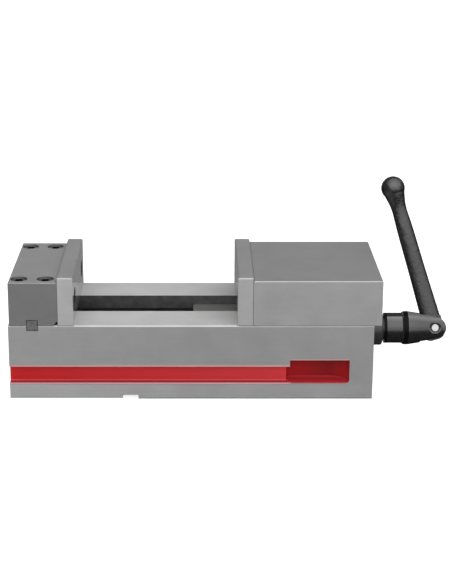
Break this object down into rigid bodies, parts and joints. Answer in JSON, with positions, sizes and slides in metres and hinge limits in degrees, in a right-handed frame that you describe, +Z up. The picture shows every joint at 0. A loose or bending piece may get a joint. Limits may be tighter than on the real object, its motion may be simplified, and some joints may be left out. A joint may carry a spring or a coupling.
{
  "type": "precision machine vise",
  "caption": "Machine vise with a fixed jaw, a sliding jaw pulled down by an angled nut on a lead screw, and a folding ball-end handle.",
  "frame": {"origin": "middle of the bed's bottom face", "axes": "+X from the fixed jaw to the handle, along the screw; +Y across the jaws, away from the pictured front; +Z up"},
  "size_m": [0.4529, 0.15, 0.205],
  "materials": {
    "bed_iron": "ground, side grooves and pockets painted red",
    "jaw_iron": "ground all over",
    "plate_steel": "hardened and ground",
    "key_steel": "ground",
    "black_steel": "black oxide",
    "nut_steel": "machined, phosphated",
    "screw_steel": "turned and ground",
    "bearing_steel": "polished",
    "bronze": "turned",
    "black_cast": "black, semi-gloss, cast surface on the arm",
    "pin_steel": "bright"
  },
  "bodies": {
    "bed": {"bed": "bed_iron", "fixed_jaw": "jaw_iron", "fixed_jaw_key": "key_steel", "fixed_jaw_screw_1": "black_steel", "fixed_jaw_screw_2": "black_steel", "fixed_jaw_screw_3": "black_steel", "fixed_jaw_screw_4": "black_steel", "fixed_plate": "plate_steel", "fixed_plate_screw_1": "black_steel", "fixed_plate_screw_2": "black_steel", "screw_bush": "bronze", "bearing_housing_washer": "bearing_steel"},
    "jaw": {"movable_jaw": "jaw_iron", "movable_plate": "plate_steel", "movable_plate_screw_1": "black_steel", "movable_plate_screw_2": "black_steel", "nut": "nut_steel", "half_ball": "bearing_steel", "jaw_set_screw": "black_steel"},
    "screw": {"lead_screw": "screw_steel", "bearing_shaft_washer": "bearing_steel", "screw_collar": "black_steel", "collar_set_screw": "black_steel", "handle_hub": "black_cast", "handle_pin": "pin_steel"},
    "cage": {"bearing_cage": "bronze", "bearing_balls": "bearing_steel"},
    "handle": {"handle_arm": "black_cast"}
  },
  "joints": [
    {"name": "screw_turn", "type": "hinge", "parent": "bed", "child": "screw", "pos_m": [0.185, 0, 0.0517], "axis": [1, 0, 0], "range_deg": [-11909, 1404]},
    {"name": "jaw_slide", "type": "slide", "parent": "bed", "child": "jaw", "axis": [1, 0, 0], "range_m": [-0.16545, 0.01955]},
    {"name": "bearing_cage_turn", "type": "hinge", "parent": "bed", "child": "cage", "pos_m": [0.1665, 0, 0.0517], "axis": [1, 0, 0], "range_deg": [-5956, 704]},
    {"name": "handle_fold", "type": "hinge", "parent": "screw", "child": "handle", "pos_m": [0.2564, 0, 0.0517], "axis": [0, 0.9511, -0.309], "range_deg": [0, 212]}
  ],
  "couplings": [
    {"joint": "jaw_slide", "follows": "screw_turn", "m_per_rad": 0.00079577},
    {"joint": "bearing_cage_turn", "follows": "screw_turn", "ratio": 0.5}
  ]
}
